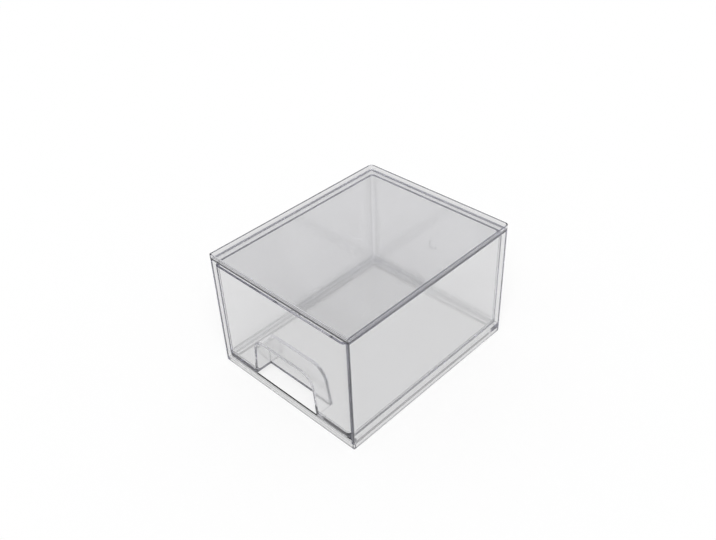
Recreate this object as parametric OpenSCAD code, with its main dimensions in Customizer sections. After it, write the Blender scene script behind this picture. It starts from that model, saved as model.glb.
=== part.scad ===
// Stackable drawer box in clear moulded plastic.
// A case shell with an open front and an open base, a top cover with a raised
// stacking rim, and one drawer with a finger pocket moulded into its front.
// Millimetres. X is the width, Y the depth with the front at -Y, Z is up.
// The origin is the centre of the case's footprint, on the surface it stands on.

/* [Case] */
// Outside width of the case
case_w = 165; // [125:1:320]
// Outside depth of the case
case_d = 202; // [100:1:360]
// Overall height, from the base to the top of the stacking rim
case_h = 120.5; // [90:0.5:260]
// Thickness of the side and back walls
wall_t = 3.2; // [2:0.1:4]
// Corner radius of the case at the front, seen from above
front_corner_r = 2; // [1.8:0.1:3]
// Corner radius of the case at the back, seen from above
back_corner_r = 4; // [3.5:0.25:10]

/* [Base] */
// Height of the bar that ties the side walls together under the drawer
bar_h = 4.3; // [3:0.1:6]
// Thickness of that bar, front to back
bar_t = 3.2; // [2:0.1:6]
// Height of the ledges' top, which the drawer runs on
ledge_top = 9; // [7.5:0.1:14]
// Thickness of the ledges
ledge_t = 5.7; // [1.5:0.1:6.5]
// How far the ledges stand in from the walls
ledge_w = 6.6; // [5:0.1:20]

/* [Top cover] */
// Height of the stacking rim above the deck
rim_h = 4; // [2:0.1:12]
// Thickness of the stacking rim
rim_t = 1.4; // [1:0.1:1.6]
// Thickness of the deck
deck_t = 2.4; // [2:0.1:4]
// How far the deck sinks in between the walls, which keeps the cover in place
seat_h = 1.1; // [0.6:0.1:1.6]
// Clearance round the part of the deck that sinks in
seat_gap = 0.2; // [0.1:0.05:0.4]
// Size of the bevels that make the groove between the case and its cover
groove_c = 0.7; // [0.3:0.05:0.9]

/* [Drawer] */
// Thickness of the drawer's walls and floor
drawer_t = 2.2; // [1.6:0.1:3]
// Outside corner radius of the drawer, seen from above
drawer_corner_r = 4.5; // [3:0.25:10]
// Radius of the rounding inside, along the floor's edges and up the corners
drawer_fillet_r = 4.5; // [1.5:0.25:10]
// Gap between the drawer and each side wall
side_gap = 1.4; // [0.5:0.1:3]
// Gap between the drawer and the back wall
back_gap = 0.5; // [0.4:0.1:6]
// Gap between the drawer's edge and the deck
top_gap = 2.7; // [0.5:0.1:8]
// Running gap between the drawer and its ledges
run_gap = 0.3; // [0.3:0.05:0.8]

/* [Finger pocket] */
// Inside width of the pocket at its foot
pocket_w = 77; // [58:1:90]
// Height of the pocket above the drawer's underside
pocket_h = 41; // [30:1:60]
// Depth of the pocket at its foot, behind the drawer's front
pocket_d = 17; // [14:0.5:30]
// Radius of the pocket's top corners
pocket_r = 14; // [6:1:18]
// Lean of the pocket's sides from upright, in degrees
pocket_lean = 5; // [0:0.5:8]
// Lean of the pocket's back from upright, in degrees
pocket_rake = 3; // [0:0.5:5]
// Thickness of the pocket's walls
pocket_t = 2.2; // [1.6:0.1:3]

/* [Quality] */
// Facets of a full circle in the preview
circle_facets = 96; // [32:8:160]

/* [Hidden] */
$fn = circle_facets;
eps = 0.01; // overlap that keeps cuts clear of coincident faces
bar_corner_r = 1; // inside corners between the bar and the side walls
big = 2 * (case_w + case_d + case_h);

// Inside of the case
inner_w = case_w - 2 * wall_t;
inner_r = max(back_corner_r - wall_t, 0.8);
back_y = case_d / 2 - wall_t;
front_y = -case_d / 2;

// Levels of the cover
deck_z = case_h - rim_h;
under_z = deck_z - deck_t;
joint_z = under_z + seat_h;

// Drawer
drawer_w = inner_w - 2 * side_gap;
drawer_back = back_y - back_gap;
drawer_back_r = max(drawer_corner_r, inner_r);
drawer_z = ledge_top + run_gap;
drawer_top = under_z - top_gap;

// Pocket
pocket_top = drawer_z + pocket_h;
arc_z = pocket_top - pocket_r;
arc_x = pocket_w / 2 - (arc_z - drawer_z) * tan(pocket_lean) - pocket_r / cos(pocket_lean);

// A rectangle w wide from y0 to y1, with corner radius rf at the front and rb at the back
module plan(w, y0, y1, rf, rb) {
  y_mid = (y0 + y1) / 2;
  translate([-w / 2, y0 + rf]) square([w, y1 - y0 - rf - rb]);
  translate([-w / 2 + rf, y0]) square([w - 2 * rf, y_mid - y0]);
  translate([-w / 2 + rb, y_mid]) square([w - 2 * rb, y1 - y_mid]);
  for (s = [-1, 1]) {
    translate([s * (w / 2 - rf), y0 + rf]) circle(r = rf);
    translate([s * (w / 2 - rb), y1 - rb]) circle(r = rb);
  }
}

// The footprint of the case, drawn in by a distance
module footprint(inset = 0) {
  plan(case_w - 2 * inset, front_y + inset, case_d / 2 - inset,
       front_corner_r - inset, back_corner_r - inset);
}

// Carries a profile round the footprint: its X points outwards and is 0 on the footprint's edge
module round_footprint() {
  rf = front_corner_r;
  rb = back_corner_r;
  for (s = [0, 1]) mirror([s, 0, 0]) {
    translate([case_w / 2, front_y + rf, 0]) rotate([90, 0, 180])
      linear_extrude(case_d - rf - rb) mirror([1, 0]) children();
    translate([case_w / 2 - rb, case_d / 2 - rb, 0])
      rotate_extrude(angle = 90) translate([rb, 0]) children();
    translate([case_w / 2 - rf, front_y + rf, 0]) rotate([0, 0, -90])
      rotate_extrude(angle = 90) translate([rf, 0]) children();
  }
  translate([case_w / 2 - rb, case_d / 2, 0]) rotate([90, 0, -90])
    linear_extrude(case_w - 2 * rb) mirror([1, 0]) children();
  translate([-case_w / 2 + rf, front_y, 0]) rotate([90, 0, 90])
    linear_extrude(case_w - 2 * rf) mirror([1, 0]) children();
}

// Half of the groove at the joint: up = 1 bevels what lies above it, up = -1 what lies below
module groove_profile(up) {
  polygon([[-groove_c, -up * eps], [eps, -up * eps], [eps, up * groove_c]]);
}

// Side walls, back wall, front bar and the ledges that carry the drawer
module case_shell() {
  bar_y = front_y + bar_t;
  color([0.86, 0.87, 0.9, 0.5]) difference() {
    linear_extrude(joint_z) footprint();
    // room above the ledges
    translate([0, 0, ledge_top]) linear_extrude(big)
      plan(inner_w, front_y - wall_t, back_y, 1, inner_r);
    // room below the ledges, behind the bar
    translate([0, 0, -eps]) linear_extrude(ledge_top - ledge_t + eps)
      plan(inner_w, bar_y, back_y, bar_corner_r, inner_r);
    // open base between the ledges
    translate([0, 0, -eps]) linear_extrude(ledge_top + 2 * eps)
      plan(inner_w - 2 * ledge_w, bar_y, back_y - ledge_w, bar_corner_r, bar_corner_r);
    // open front above the bar
    translate([-inner_w / 2, front_y - eps, bar_h])
      cube([inner_w, bar_t + bar_corner_r + eps, big]);
    translate([0, 0, joint_z]) round_footprint() groove_profile(-1);
  }
}

// Deck with the stacking rim round it; its underside sinks in between the walls
module top_cover() {
  seat_w = inner_w - 2 * seat_gap;
  color([0.86, 0.87, 0.9, 0.5]) difference() {
    union() {
      translate([0, 0, joint_z]) linear_extrude(case_h - joint_z) footprint();
      translate([0, 0, under_z]) linear_extrude(seat_h + eps)
        plan(seat_w, front_y + wall_t + seat_gap, back_y - seat_gap, inner_r, inner_r);
    }
    translate([0, 0, deck_z]) linear_extrude(big) footprint(rim_t);
    translate([0, 0, joint_z]) round_footprint() groove_profile(1);
  }
}

// A box w wide from y0 to y1, open upwards from z, with all its other edges rounded
module basin(w, y0, y1, z, r) {
  x = w / 2 - r;
  ya = y0 + r;
  yb = y1 - r;
  zc = z + r;
  for (cx = [-x, x]) {
    translate([cx, ya, zc]) rotate([-90, 0, 0]) cylinder(r = r, h = yb - ya);
    for (cy = [ya, yb]) {
      translate([cx, cy, zc]) sphere(r = r);
      translate([cx, cy, zc]) cylinder(r = r, h = big);
    }
  }
  for (cy = [ya, yb]) translate([-x, cy, zc]) rotate([0, 90, 0]) cylinder(r = r, h = 2 * x);
  translate([-x, ya, z]) cube([2 * x, yb - ya, big]);
  translate([-w / 2, ya, zc]) cube([w, yb - ya, big]);
  translate([-x, y0, zc]) cube([2 * x, y1 - y0, big]);
}

// The pocket's arch, grown by a distance, carried back from y0 to a leaning back with its foot at y1
module arch_block(grow, y0, y1) {
  r = pocket_r + grow;
  foot_x = pocket_w / 2 + grow / cos(pocket_lean);
  side_x = arc_x + r * cos(pocket_lean);
  side_z = arc_z + r * sin(pocket_lean);
  difference() {
    translate([0, y1 + 1, 0]) rotate([90, 0, 0]) linear_extrude(y1 + 1 - y0) {
      for (s = [-1, 1]) translate([s * arc_x, arc_z]) circle(r = r);
      polygon([[-foot_x, drawer_z], [foot_x, drawer_z], [side_x, side_z],
               [arc_x, arc_z + r], [-arc_x, arc_z + r], [-side_x, side_z]]);
    }
    translate([0, y1, drawer_z]) rotate([pocket_rake, 0, 0])
      translate([-big / 2, 0, -big / 2]) cube(big);
  }
}

// Open-topped drawer with the finger pocket in its front
module drawer() {
  pocket_back = front_y + pocket_d;
  color([0.88, 0.89, 0.92, 0.5]) difference() {
    union() {
      difference() {
        translate([0, 0, drawer_z]) linear_extrude(drawer_top - drawer_z)
          plan(drawer_w, front_y, drawer_back, drawer_corner_r, drawer_back_r);
        basin(drawer_w - 2 * drawer_t, front_y + drawer_t, drawer_back - drawer_t,
              drawer_z + drawer_t, drawer_fillet_r);
      }
      arch_block(pocket_t, front_y, pocket_back + pocket_t);
    }
    arch_block(0, front_y - eps, pocket_back);
  }
}

case_shell();
top_cover();
drawer();
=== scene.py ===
"""Clear moulded drawer box: a case, a top cover with a stacking rim, a drawer with a finger pocket."""

import math

import bpy
import numpy as np
from mathutils import Matrix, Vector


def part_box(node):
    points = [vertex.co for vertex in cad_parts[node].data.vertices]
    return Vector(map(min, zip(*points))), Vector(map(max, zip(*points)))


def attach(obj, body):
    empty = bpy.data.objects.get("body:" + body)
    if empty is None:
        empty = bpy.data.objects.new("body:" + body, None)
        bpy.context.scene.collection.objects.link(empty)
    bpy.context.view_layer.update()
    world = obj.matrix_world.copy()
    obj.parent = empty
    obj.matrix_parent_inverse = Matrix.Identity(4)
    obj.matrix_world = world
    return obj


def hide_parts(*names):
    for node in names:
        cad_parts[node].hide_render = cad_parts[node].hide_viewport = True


bl_info = {
    "name": "Clear Drawer Box",
    "version": (1, 0, 0),
    "blender": (4, 5, 0),
    "location": "3D View > Sidebar > Drawer Box",
    "description": "Builds a clear moulded stacking drawer box round its packed frame",
    "category": "Add Mesh",
}

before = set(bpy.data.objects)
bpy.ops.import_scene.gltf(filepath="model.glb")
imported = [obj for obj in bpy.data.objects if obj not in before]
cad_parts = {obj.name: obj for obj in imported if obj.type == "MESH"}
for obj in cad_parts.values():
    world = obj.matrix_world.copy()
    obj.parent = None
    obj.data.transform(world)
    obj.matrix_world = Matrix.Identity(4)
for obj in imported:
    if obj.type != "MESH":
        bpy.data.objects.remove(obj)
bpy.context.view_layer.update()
CASE_BOX = [[float(value) for value in corner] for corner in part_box("case_shell")]
COVER_BOX = [[float(value) for value in corner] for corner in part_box("top_cover")]
DRAWER_BOX = [[float(value) for value in corner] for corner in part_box("drawer")]
MM = 0.001


def length(name, description, millimetres, low=0.1, high=400.0):
    """A length property that is given in millimetres and stored in metres."""
    return bpy.props.FloatProperty(
        name=name, description=description, default=millimetres * MM,
        min=low * MM, max=high * MM, subtype="DISTANCE", unit="LENGTH", precision=5,
    )


def colour(name, description, code):
    """A colour property whose default is an sRGB hex code."""
    return bpy.props.FloatVectorProperty(
        name=name, description=description, default=linear(code),
        size=3, min=0.0, max=1.0, subtype="COLOR",
    )


def factor(name, description, value, high=1.0):
    """A plain number between 0 and high."""
    return bpy.props.FloatProperty(
        name=name, description=description, default=value, min=0.0, max=high, precision=4,
    )


def angle(name, description, degrees, high):
    """An angle property that is given in degrees and stored in radians."""
    return bpy.props.FloatProperty(
        name=name, description=description, default=math.radians(degrees),
        min=0.0, max=math.radians(high), subtype="ANGLE",
    )


def linear(code):
    """sRGB hex code to a linear colour, by the sRGB curve's inverse."""
    srgb = np.array([int(code[i:i + 2], 16) for i in (1, 3, 5)]) / 255.0
    value = np.where(srgb <= 0.04045, srgb / 12.92, ((srgb + 0.055) / 1.055) ** 2.4)
    return tuple(float(channel) for channel in value)


# Sizes and colours ----------------------------------------------------------------------------

class BoxSizes(bpy.types.PropertyGroup):
    """Sizes of the three mouldings."""

    wall: length("Wall", "Thickness of the case's walls", 3.2)
    front_corner: length("Front Corner", "Corner radius of the case at the front", 1.3)
    back_corner: length("Back Corner", "Corner radius of the case at the back", 4.0)
    bar_height: length("Bar Height", "Height of the bar under the drawer", 4.3)
    bar_depth: length("Bar Depth", "Thickness of that bar, front to back", 3.2)
    ledge_top: length("Ledge Top", "Height of the ledges that carry the drawer", 9.0)
    ledge_thick: length("Ledge Thickness", "Thickness of the ledges", 5.7)
    ledge_width: length("Ledge Width", "How far the ledges stand in from the walls", 6.6)
    rim_height: length("Rim Height", "Height of the stacking rim above the deck", 4.0)
    rim_thick: length("Rim Thickness", "Thickness of the stacking rim", 1.4)
    seat_height: length("Seat Height", "How far the deck sinks in between the walls", 1.1)
    seat_gap: length("Seat Gap", "Clearance round the sunk part of the deck", 0.2)
    groove: length("Groove", "Size of the bevels at the joint of case and cover", 0.7)
    drawer_wall: length("Drawer Wall", "Thickness of the drawer's walls and floor", 2.2)
    drawer_corner: length("Drawer Corner", "Outside corner radius of the drawer", 4.5)
    drawer_fillet: length("Drawer Fillet", "Radius along the drawer's floor and inside corners", 4.5)
    drawer_foot: length("Drawer Foot", "Radius along the drawer's lower side and back edges", 3.0)
    pocket_width: length("Pocket Width", "Inside width of the finger pocket at its foot", 77.0)
    pocket_height: length("Pocket Height", "Height of the finger pocket", 41.0)
    pocket_depth: length("Pocket Depth", "Depth of the finger pocket at its foot", 17.0)
    pocket_corner: length("Pocket Corner", "Radius of the finger pocket's top corners", 14.0)
    pocket_wall: length("Pocket Wall", "Thickness of the finger pocket's walls", 2.2)
    pocket_round: length("Pocket Rounding", "Rounding of the pocket's back on the drawer's inside", 0.8)
    hollow_round: length("Hollow Rounding", "Rounding of the pocket's back on the fingers' side", 0.5)
    pocket_lean: angle("Pocket Lean", "Lean of the pocket's sides from upright", 5.0, 8.0)
    pocket_rake: angle("Pocket Rake", "Lean of the pocket's back from upright", 3.0, 8.0)
    gate_width: length("Gate Width", "Width of the round recess about the case's gate mark", 9.0)
    gate_depth: length("Gate Depth", "Depth of that recess in the back wall", 0.6)
    gate_height: length("Gate Height", "Height of the gate mark on the back wall", 60.5)
    air: length("Joint Air", "Air left in the joint of case and cover", 0.05, 0.0)
    edge: length("Edge Rounding", "Rounding of the mouldings' sharp edges", 0.3)


class BoxLook(bpy.types.PropertyGroup):
    """Colours and optical values of the clear plastic and of the stage."""

    plastic: colour("Plastic", "Tint of the clear plastic", "#FEFEFE")
    depth_tint: colour("Depth Tint", "Colour that light takes on along a way inside the plastic", "#8989B1")
    case_depth: factor("Case Depth", "Strength of the depth tint in the case, per metre", 4.5, 500.0)
    cover_depth: factor("Cover Depth", "Strength of the depth tint in the cover, per metre", 24.0, 500.0)
    drawer_depth: factor("Drawer Depth", "Strength of the depth tint in the drawer, per metre", 7.0, 500.0)
    clearness: factor("Clearness", "Share of the light that goes through a surface unscattered", 1.0)
    gloss: factor("Roughness", "Roughness of the moulded surface", 0.06)
    floor: colour("Floor", "Colour of the floor", "#FFFFFF")
    floor_glow: factor("Floor Glow", "Share of the floor's white that shadows leave alone", 0.75)
    through_glow: factor("Glow Through Plastic", "The same share, seen through plastic", 0.85)
    # painted shade: the white floor, and the surround low down, are shown at this grey where they are seen
    # through the plastic, so the floor under and behind the box looks grey
    painted_grey_through: factor("White Through Plastic", "Brightness of the white seen through plastic", 0.78)
    # painted shade: the surround overhead is shown this dark where it is seen through the plastic
    overhead: factor("Overhead", "Brightness of the surround overhead, seen through plastic", 0.3)
    sky: factor("Surround", "Brightness of the even surround", 0.5, 10.0)
    key: factor("Key Light", "Brightness that the key light adds to the floor", 0.5, 10.0)
    key_height: angle("Key Light Height", "Height of the key light above the floor", 50.0, 90.0)
    key_turn: angle("Key Light Turn", "Turn of the key light from the front to the right", 45.0, 360.0)
    key_size: angle("Key Light Size", "Width of the key light as seen from the box", 40.0, 90.0)


# Shapes ---------------------------------------------------------------------------------------

ARC = 10  # steps round a quarter circle
LEAST_CORNER = 0.25 * MM  # smallest corner radius of a ring
SHARP = 0.01 * MM  # corner radius of a cut whose corners stay sharp
LEAST_INSIDE = 0.8 * MM  # smallest corner radius inside the case
BAR_CORNER = 1.0 * MM  # radius of the corners between the bar, the ledges and the walls
FAR = 30.0 * MM  # how far a cut reaches past the piece that it opens


def plan_rings(plan, insets, heights, radius_floor=LEAST_CORNER, front=None):
    """Rings of a rounded rectangle, one for each inset and height.

    Corner c of ring k has radius r = max(R_c - inset_k, radius_floor). Its points are
    centre + r (cos a, sin a), with a running through a quarter turn, so a ring goes
    round counter-clockwise as seen from above. The front edge may have insets of its
    own. Returns an array (rings, points, 3).
    """
    x0, x1, y0, y1, front_r, back_r = plan
    front = insets if front is None else front
    front = np.asarray(front, float)[:, None, None]
    insets = np.asarray(insets, float)[:, None, None]
    heights = np.asarray(heights, float)[:, None, None]
    start = np.radians([-90.0, 0.0, 90.0, 180.0])[None, :, None]
    angle = start + np.linspace(0.0, math.pi / 2, ARC + 1)[None, None, :]
    corner_r = np.array([front_r, back_r, back_r, front_r])[None, :, None]
    radius = np.maximum(corner_r - insets, radius_floor)
    side_x = np.array([1, 1, -1, -1])[None, :, None]
    side_y = np.array([-1, 1, 1, -1])[None, :, None]
    edge_x = np.array([x1, x1, x0, x0])[None, :, None]
    edge_y = np.array([y0, y1, y1, y0])[None, :, None]
    x = edge_x - side_x * (insets + radius) + radius * np.cos(angle)
    insets_y = np.where(side_y < 0, front, insets)
    y = edge_y - side_y * (insets_y + radius) + radius * np.sin(angle)
    z = heights + 0.0 * x
    return np.stack([x, y, z], axis=-1).reshape(len(insets), -1, 3)


def arch_rings(arch, radii, depths, rake=0.0):
    """Rings of an arch that stands in the XZ plane, one for each radius and depth y.

    The arch has two corner circles about (+-centre_x, centre_z). Its sides touch the
    circles at the angle lean and run straight down, leaning outwards, to a margin below
    foot_z. All rings but the first lean forward: y = depth - (z - foot_z) tan(rake).
    """
    centre_x, centre_z, foot_z, margin, lean = arch
    radii = np.asarray(radii, float)[:, None]
    depths = np.asarray(depths, float)[:, None]
    angle = np.linspace(lean, math.pi / 2, 2 * ARC + 1)[None, :]
    arc_x = centre_x + radii * np.cos(angle)
    arc_z = centre_z + radii * np.sin(angle)
    low_z = foot_z - margin
    foot_x = arc_x[:, :1] + (arc_z[:, :1] - low_z) * math.tan(lean)
    right_x = np.concatenate([foot_x, arc_x], axis=1)
    right_z = np.concatenate([0.0 * foot_x + low_z, arc_z], axis=1)
    x = np.concatenate([right_x, -right_x[:, ::-1]], axis=1)
    z = np.concatenate([right_z, right_z[:, ::-1]], axis=1)
    leaning = np.arange(len(depths))[:, None] > 0
    y = depths - leaning * (z - foot_z) * math.tan(rake)
    return np.stack([x, y, z], axis=-1)


def disc_rings(height, radii, depths):
    """Circles that stand upright, one for each radius r and depth y.

    (x, z) = (0, height) + r (cos a, sin a), with a running through a full turn.
    """
    radii = np.asarray(radii, float)[:, None]
    depths = np.asarray(depths, float)[:, None]
    angle = np.linspace(0.0, 2 * math.pi, 4 * ARC, endpoint=False)[None, :]
    x = radii * np.cos(angle)
    return np.stack([x, depths + 0.0 * x, height + radii * np.sin(angle)], axis=-1)


def round_profile(radius, steps=ARC):
    """A quarter circle as (inset, rise): inset = r (1 - sin t), rise = r (1 - cos t)."""
    t = np.linspace(0.0, math.pi / 2, steps + 1)
    return radius * (1.0 - np.sin(t)), radius * (1.0 - np.cos(t))


def shell(name, rings):
    """A closed mesh object from rings (k, n, 3): quads between the rings, a flat face on each end."""
    count, around, _ = rings.shape
    row = np.arange(count - 1)[:, None] * around
    here = np.arange(around)[None, :]
    following = (np.arange(around)[None, :] + 1) % around
    quads = np.stack(
        [row + here, row + following, row + around + following, row + around + here], axis=-1
    ).reshape(-1, 4)
    first = list(range(around))[::-1]
    last = list(range((count - 1) * around, count * around))
    mesh = bpy.data.meshes.new(name)
    mesh.from_pydata(rings.reshape(-1, 3).tolist(), [], quads.tolist() + [first, last])
    if signed_volume(rings) < 0.0:
        mesh.flip_normals()
    mesh.update()
    made = bpy.data.objects.new(name, mesh)
    bpy.context.scene.collection.objects.link(made)
    return made


def signed_volume(rings):
    """Sum over the rings of area times step along the stacking direction, signed by their turn."""
    middle = rings.mean(axis=1)
    spokes = rings - middle[:, None, :]
    area = 0.5 * np.cross(spokes, np.roll(spokes, -1, axis=1)).sum(axis=1)
    step = np.diff(middle, axis=0)
    return float(((area[1:] + area[:-1]) * 0.5 * step).sum())


def combine(body, tools):
    """Applies exact Booleans: tools is a list of (operation, object), used up in order."""
    for operation, tool in tools:
        modifier = body.modifiers.new(operation.lower(), "BOOLEAN")
        modifier.operation = operation
        modifier.solver = "EXACT"
        modifier.object = tool
    graph = bpy.context.evaluated_depsgraph_get()
    result = bpy.data.meshes.new_from_object(body.evaluated_get(graph))
    old = body.data
    body.modifiers.clear()
    body.data = result
    bpy.data.meshes.remove(old)
    for _, tool in tools:
        data = tool.data
        bpy.data.objects.remove(tool)
        bpy.data.meshes.remove(data)


def soften(piece, width):
    """Rounds the sharp edges of a moulding and keeps its flat faces flat in shading."""
    piece.data.polygons.foreach_set("use_smooth", [True] * len(piece.data.polygons))
    bevel = piece.modifiers.new("edge rounding", "BEVEL")
    bevel.width = width
    bevel.segments = 3
    bevel.limit_method = "ANGLE"
    bevel.angle_limit = math.radians(50.0)
    bevel.use_clamp_overlap = False
    bevel.miter_outer = "MITER_ARC"
    flat = piece.modifiers.new("flat faces", "WEIGHTED_NORMAL")
    flat.mode = "FACE_AREA"
    flat.weight = 100


# Materials ------------------------------------------------------------------------------------

def add(tree, kind, links=None, **settings):
    """Adds a node, sets its properties and sockets, and links its inputs."""
    node = tree.nodes.new(kind)
    for key, value in settings.items():
        if hasattr(node, key):
            setattr(node, key, value)
        else:
            node.inputs[key.replace("_", " ")].default_value = value
    for key, source in (links or {}).items():
        tree.links.new(source, node.inputs[key])
    return node


def moulded_polystyrene(name, look, strength, seed):
    """Crystal polystyrene, injection moulded in a polished mould.

    Its colour along a way d in the plastic is exp(-strength (1 - depth_tint) d). The seed
    gives each moulding waves and scuffs of its own.
    """
    # to the eye: faces as clear as glass, edges that darken with the depth of plastic behind them,
    # highlights that bend a little along the wavy walls and blur where hairline scuffs cross them
    material = bpy.data.materials.new(name)
    material.use_nodes = True
    tree = material.node_tree
    tree.nodes.clear()
    place = add(tree, "ShaderNodeTexCoord").outputs["Object"]
    # the flow of the melt leaves the walls wavy at a spacing of some 25 mm
    flow = add(tree, "ShaderNodeTexNoise", {"Vector": place}, noise_dimensions="4D",
               W=seed, Scale=40.0, Detail=1.0)
    # scuffs about 1 mm apart and 17 mm long, drawn coarser than the real ones so that they show
    scuff_place = add(tree, "ShaderNodeMapping", {"Vector": place}, Scale=(900.0, 60.0, 260.0))
    scuffs = add(tree, "ShaderNodeTexNoise", {"Vector": scuff_place.outputs["Vector"]},
                 noise_dimensions="4D", W=seed + 3.0, Scale=1.0, Detail=3.0)
    # only the peaks of the pattern are scuffed, and the deepest of them are this much rougher
    scuffing = 0.05
    rough = add(tree, "ShaderNodeMapRange", {"Value": scuffs.outputs["Fac"]},
                From_Min=0.45, From_Max=0.75, To_Min=look.gloss, To_Max=look.gloss + scuffing)
    wave_height = 0.1 * MM
    wave = add(tree, "ShaderNodeBump", {"Height": flow.outputs["Fac"]}, Strength=0.25, Distance=wave_height)
    polystyrene_ior = 1.59
    surface = add(tree, "ShaderNodeBsdfPrincipled",
                  {"Roughness": rough.outputs["Result"], "Normal": wave.outputs["Normal"]},
                  Base_Color=(*look.plastic, 1.0), IOR=polystyrene_ior, Transmission_Weight=look.clearness)
    depth = add(tree, "ShaderNodeVolumeAbsorption", Color=(*look.depth_tint, 1.0), Density=strength)
    output = add(tree, "ShaderNodeOutputMaterial",
                 {"Surface": surface.outputs["BSDF"], "Volume": depth.outputs["Volume"]})
    output.is_active_output = True
    return material


def finish_piece(piece, material, body, node):
    """Gives a moulding its material, hides the node that it stands for and ties it to its body."""
    piece.data.materials.clear()
    piece.data.materials.append(material)
    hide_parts(node)
    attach(piece, body)


# Operators ------------------------------------------------------------------------------------

class BOX_OT_case(bpy.types.Operator):
    """Walls, front bar and ledges, one moulding that is open at the top, the front and the base"""

    bl_idname = "box.case"
    bl_label = "Add Case"

    def execute(self, context):
        size = context.scene.box_sizes
        (x0, y0, z0), (x1, y1, z1) = CASE_BOX
        outer = (x0, x1, y0, y1, size.front_corner, size.back_corner)
        body = shell("case_moulding", plan_rings(
            outer, [0.0, 0.0, size.groove], [z0, z1 - size.groove, z1]))
        # each cut is a plan (left, right, front, back, front corner radius, back corner radius)
        inside_r = max(size.back_corner - size.wall, LEAST_INSIDE)
        left = x0 + size.wall
        right = x1 - size.wall
        back = y1 - size.wall
        behind_bar = y0 + size.bar_depth
        ledge = size.ledge_width
        room = (left, right, y0 - FAR, back, BAR_CORNER, inside_r)
        below = (left, right, behind_bar, back, BAR_CORNER, inside_r)
        base = (left + ledge, right - ledge, behind_bar, back - ledge, BAR_CORNER, BAR_CORNER)
        mouth = (left, right, y0 - FAR, behind_bar + BAR_CORNER, 0.0, 0.0)
        under = size.ledge_top - size.ledge_thick
        above = z1 + FAR
        combine(body, [
            ("DIFFERENCE", shell("room", plan_rings(room, [0, 0], [size.ledge_top, above]))),
            ("DIFFERENCE", shell("below", plan_rings(below, [0, 0], [z0 - FAR, under]))),
            ("DIFFERENCE", shell("base", plan_rings(base, [0, 0], [z0 - FAR, z1]))),
            ("DIFFERENCE", shell("mouth", plan_rings(mouth, [0, 0], [size.bar_height, above], SHARP))),
            ("DIFFERENCE", self.gate_recess(size, y1)),
            ("UNION", self.gate_nib(size, y1)),
        ])
        soften(body, size.edge)
        look = context.scene.box_look
        material = moulded_polystyrene("Crystal polystyrene, case", look, look.case_depth, seed=1.0)
        finish_piece(body, material, "housing", "case_shell")
        return {"FINISHED"}

    def gate_recess(self, size, back):
        """A round recess with steep sides in the back wall, where the plastic was let in."""
        radius = size.gate_width / 2
        taper = 0.4 * MM
        radii = [radius, radius, radius - taper]
        depths = [back + FAR, back, back - size.gate_depth]
        return shell("recess", disc_rings(size.gate_height, radii, depths))

    def gate_nib(self, size, back):
        """The broken-off gate in the middle of the recess, lower than the wall's face."""
        floor = back - size.gate_depth
        foot_radius = 1.3 * MM
        tip_radius = 0.9 * MM
        root = 0.3 * MM
        stub = 0.4 * MM
        radii = [foot_radius, foot_radius, tip_radius]
        return shell("nib", disc_rings(size.gate_height, radii, [floor - root, floor, floor + stub]))


class BOX_OT_cover(bpy.types.Operator):
    """Deck, stacking rim and the sunk seat under the deck, one moulding"""

    bl_idname = "box.cover"
    bl_label = "Add Top Cover"

    def execute(self, context):
        size = context.scene.box_sizes
        (x0, y0, z0), (x1, y1, z1) = COVER_BOX
        outer = (x0, x1, y0, y1, size.front_corner, size.back_corner)
        seat = size.wall + size.seat_gap
        joint = z0 + size.seat_height + size.air
        deck = z1 - size.rim_height
        foot_radius = 0.6 * MM
        inset, rise = round_profile(foot_radius, 4)
        foot_in = size.rim_thick + inset[::-1]
        foot_up = deck + rise[::-1]
        # a flat strip round the underside, so that the rounding beside it keeps its shape
        strip = 2 * MM
        # the front's lower edge has no bevel, because the case has no wall under it
        upper = [0.0, 0.0, size.rim_thick, *foot_in, seat]
        insets = [seat + strip, seat, seat, size.groove, *upper]
        front = [seat + strip, seat, seat, 0.0, *upper]
        heights = [z0, z0, joint, joint, joint + size.groove, z1, z1, *foot_up, deck]
        body = shell("cover_moulding", plan_rings(outer, insets, heights, front=front))
        soften(body, size.edge)
        look = context.scene.box_look
        material = moulded_polystyrene("Crystal polystyrene, cover", look, look.cover_depth, seed=5.0)
        finish_piece(body, material, "housing", "top_cover")
        return {"FINISHED"}


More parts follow.
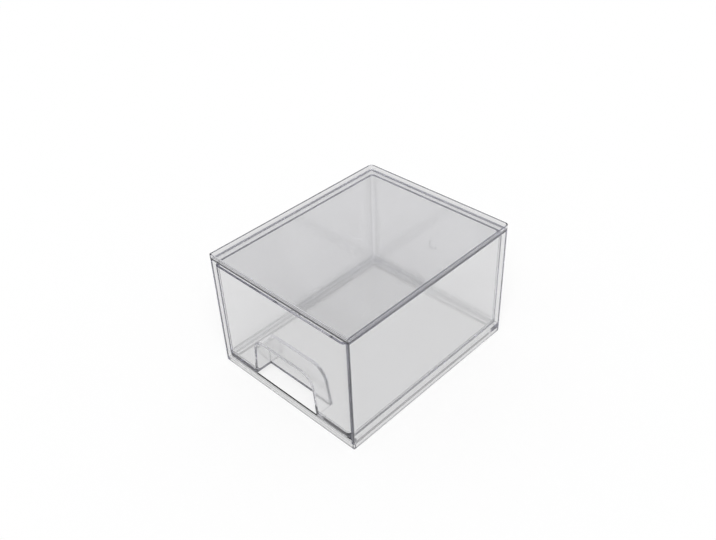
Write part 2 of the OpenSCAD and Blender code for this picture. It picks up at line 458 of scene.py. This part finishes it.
class BOX_OT_drawer(bpy.types.Operator):
    """Open-topped drawer with a rounded floor and the finger pocket in its front, one moulding"""

    bl_idname = "box.drawer"
    bl_label = "Add Drawer"

    def execute(self, context):
        size = context.scene.box_sizes
        (x0, y0, z0), (x1, y1, z1) = DRAWER_BOX
        wall = size.drawer_wall
        fillet = size.drawer_fillet
        outer = (x0, x1, y0, y1, size.drawer_corner, size.drawer_corner)
        foot_in, foot_up = round_profile(size.drawer_foot)
        body = shell("drawer_moulding", plan_rings(
            outer, [*foot_in, 0.0], [*(z0 + foot_up), z1], front=[0.0] * (len(foot_in) + 1)))
        inside = (x0 + wall, x1 - wall, y0 + wall, y1 - wall, fillet, fillet)
        inset, rise = round_profile(fillet)
        basin = shell("basin", plan_rings(inside, [*inset, 0.0], [*(z0 + wall + rise), z1 + FAR]))
        lean = size.pocket_lean
        centre_z = z0 + size.pocket_height - size.pocket_corner
        centre_x = (size.pocket_width / 2 - (centre_z - z0) * math.tan(lean)
                    - size.pocket_corner / math.cos(lean))
        arch = (centre_x, centre_z, z0, FAR, lean)
        back = y0 + size.pocket_depth
        grow = size.pocket_corner + size.pocket_wall
        round_in, round_back = round_profile(size.pocket_round)
        middle_of_wall = y0 + 0.5 * wall
        bulge = shell("bulge", arch_rings(
            arch, [grow, *(grow - round_in[::-1])],
            [middle_of_wall, *(back + size.pocket_wall - round_back[::-1])], size.pocket_rake))
        round_in, round_back = round_profile(size.hollow_round)
        hollow = shell("hollow", arch_rings(
            arch, [size.pocket_corner, *(size.pocket_corner - round_in[::-1])],
            [y0 - FAR, *(back - round_back[::-1])], size.pocket_rake))
        # cuts off what the arch adds below the drawer's underside; its corners lie clear of the drawer
        trim_corner = MM
        trim = (x0 - FAR, x1 + FAR, y0 - FAR, y1 + FAR, trim_corner, trim_corner)
        combine(body, [
            ("DIFFERENCE", basin),
            ("UNION", bulge),
            ("DIFFERENCE", hollow),
            ("DIFFERENCE", shell("trim", plan_rings(trim, [0, 0], [z0 - 2 * FAR, z0]))),
        ])
        soften(body, size.edge)
        look = context.scene.box_look
        material = moulded_polystyrene("Crystal polystyrene, drawer", look, look.drawer_depth, seed=9.0)
        finish_piece(body, material, "drawer", "drawer")
        return {"FINISHED"}


class BOX_OT_stage(bpy.types.Operator):
    """White floor, soft light and the camera"""

    bl_idname = "box.stage"
    bl_label = "Add Stage"

    def execute(self, context):
        scene = context.scene
        scene.view_settings.view_transform = "Standard"
        # light is thrown back many times inside clear plastic before it gets out at an edge
        bounces = 48
        scene.cycles.max_bounces = bounces
        scene.cycles.glossy_bounces = bounces
        scene.cycles.transmission_bounces = bounces
        self.add_floor(scene)
        self.add_light(scene)
        self.add_camera(scene)
        return {"FINISHED"}

    def shown(self, tree, look):
        """The glow's share and its brightness, each with one value as seen plainly or in a gloss
        and another, darker one as seen through plastic, which is painted shade; other light meets no glow."""
        path = add(tree, "ShaderNodeLightPath")
        camera = path.outputs["Is Camera Ray"]
        glossy = path.outputs["Is Glossy Ray"]
        through = path.outputs["Is Transmission Ray"]
        seen = add(tree, "ShaderNodeMath", {0: camera, 1: glossy}, operation="MAXIMUM")
        direct = add(tree, "ShaderNodeMath", {0: seen.outputs[0]}, operation="MULTIPLY")
        direct.inputs[1].default_value = look.floor_glow
        # a ray that is bent by plastic counts as glossy too, so only the difference is added
        share = add(tree, "ShaderNodeMath", {0: through, 2: direct.outputs[0]}, operation="MULTIPLY_ADD")
        share.inputs[1].default_value = look.through_glow - look.floor_glow
        # painted shade: seen through the plastic, the floor's glow is dimmed to a grey
        white = add(tree, "ShaderNodeMath", {0: through}, operation="MULTIPLY_ADD")
        white.inputs[1].default_value = look.painted_grey_through - 1.0
        white.inputs[2].default_value = 1.0
        return share.outputs[0], white.outputs[0]

    def add_floor(self, scene):
        """A flat square sheet, 12 m wide, just under the box."""
        half = 6.0
        level = -0.1 * MM
        corner = np.array([[-1, -1], [1, -1], [1, 1], [-1, 1]]) * half
        points = np.concatenate([corner, np.full((4, 1), level)], axis=1)
        mesh = bpy.data.meshes.new("floor")
        mesh.from_pydata(points.tolist(), [], [(0, 1, 2, 3)])
        floor = bpy.data.objects.new("floor", mesh)
        scene.collection.objects.link(floor)
        # to the eye: an even white without gloss, on which the box leaves a soft shadow, and a painted grey
        # shade where it is seen through the plastic
        material = bpy.data.materials.new("Matt white card")
        material.use_nodes = True
        tree = material.node_tree
        tree.nodes.clear()
        card = add(tree, "ShaderNodeBsdfDiffuse", Color=(*scene.box_look.floor, 1.0))
        share, white = self.shown(tree, scene.box_look)
        glow = add(tree, "ShaderNodeEmission", {"Strength": white})
        mixed = add(tree, "ShaderNodeMixShader", {0: share, 1: card.outputs[0], 2: glow.outputs[0]})
        add(tree, "ShaderNodeOutputMaterial", {"Surface": mixed.outputs[0]})
        mesh.materials.append(material)

    def add_light(self, scene):
        """A surround that is even, but painted darker where it is seen through plastic, and one wide key
        light from the camera's side.
        """
        look = scene.box_look
        world = bpy.data.worlds.new("studio")
        world.use_nodes = True
        scene.world = world
        tree = world.node_tree
        tree.nodes.clear()
        # seen plainly the surround is white; through plastic it is painted darker, a painted shade that
        # deepens from the horizon upwards and is at its dimmest from this height on the unit sphere
        dimmest = 0.4
        path = add(tree, "ShaderNodeLightPath")
        toward = add(tree, "ShaderNodeTexCoord").outputs["Generated"]
        height = add(tree, "ShaderNodeSeparateXYZ", {"Vector": toward}).outputs["Z"]
        through = add(tree, "ShaderNodeMapRange", {"Value": height},
                      From_Max=dimmest, To_Min=look.painted_grey_through, To_Max=look.overhead)
        light = add(tree, "ShaderNodeMix",
                    {"Factor": path.outputs["Is Transmission Ray"], "B": through.outputs["Result"]},
                    data_type="FLOAT", A=look.sky)
        strength = add(tree, "ShaderNodeMath", {0: light.outputs[0], 1: path.outputs["Is Camera Ray"]},
                       operation="MAXIMUM")
        sky = add(tree, "ShaderNodeBackground", {"Strength": strength.outputs[0]},
                  Color=(1.0, 1.0, 1.0, 1.0))
        add(tree, "ShaderNodeOutputWorld", {"Surface": sky.outputs[0]})
        lamp = bpy.data.lights.new("key light", "SUN")
        lamp.angle = look.key_size
        # a sun of energy pi / sin(height) lights a level white sheet to a brightness of 1
        lamp.energy = look.key * math.pi / math.sin(look.key_height)
        sun = bpy.data.objects.new("key light", lamp)
        sun.matrix_world = (Matrix.Rotation(look.key_turn, 4, "Z")
                            @ Matrix.Rotation(math.pi / 2 - look.key_height, 4, "X")
                            @ Matrix.Translation((0.0, 0.0, 1.0)))
        scene.collection.objects.link(sun)

    def add_camera(self, scene):
        """A camera whose place, view and right-hand direction are given; up = right x view."""
        place = (0.40319, -0.40738, 0.51378)
        forward = np.array([-0.5683, 0.56602, -0.59721])
        forward /= np.linalg.norm(forward)
        right = np.array([0.72321, 0.68977, -0.03446])
        right -= forward * right.dot(forward)
        right /= np.linalg.norm(right)
        up = np.cross(right, forward)
        camera = bpy.data.cameras.new("camera")
        camera.lens = 40.645
        camera.sensor_width = 36.0
        camera.clip_start = 0.01
        holder = bpy.data.objects.new("camera", camera)
        turn = Matrix(np.stack([right, up, -forward], axis=1).tolist()).to_4x4()
        holder.matrix_world = Matrix.Translation(place) @ turn
        scene.collection.objects.link(holder)
        scene.camera = holder


class BOX_PT_panel(bpy.types.Panel):
    """Buttons and sizes of the drawer box"""

    bl_idname = "BOX_PT_panel"
    bl_label = "Drawer Box"
    bl_space_type = "VIEW_3D"
    bl_region_type = "UI"
    bl_category = "Drawer Box"

    def draw(self, context):
        for operator in OPERATORS:
            self.layout.operator(operator.bl_idname)
        for group in (context.scene.box_sizes, context.scene.box_look):
            for name in group.bl_rna.properties.keys():
                if name not in ("rna_type", "name"):
                    self.layout.prop(group, name)


OPERATORS = (BOX_OT_case, BOX_OT_cover, BOX_OT_drawer, BOX_OT_stage)
CLASSES = (BoxSizes, BoxLook, *OPERATORS, BOX_PT_panel)


def register():
    for cls in CLASSES:
        bpy.utils.register_class(cls)
    bpy.types.Scene.box_sizes = bpy.props.PointerProperty(type=BoxSizes)
    bpy.types.Scene.box_look = bpy.props.PointerProperty(type=BoxLook)


def unregister():
    del bpy.types.Scene.box_look
    del bpy.types.Scene.box_sizes
    for cls in reversed(CLASSES):
        bpy.utils.unregister_class(cls)


def main():
    register()
    bpy.ops.box.case()
    bpy.ops.box.cover()
    bpy.ops.box.drawer()
    bpy.ops.box.stage()
    bpy.context.view_layer.update()


if __name__ == "__main__":
    main()
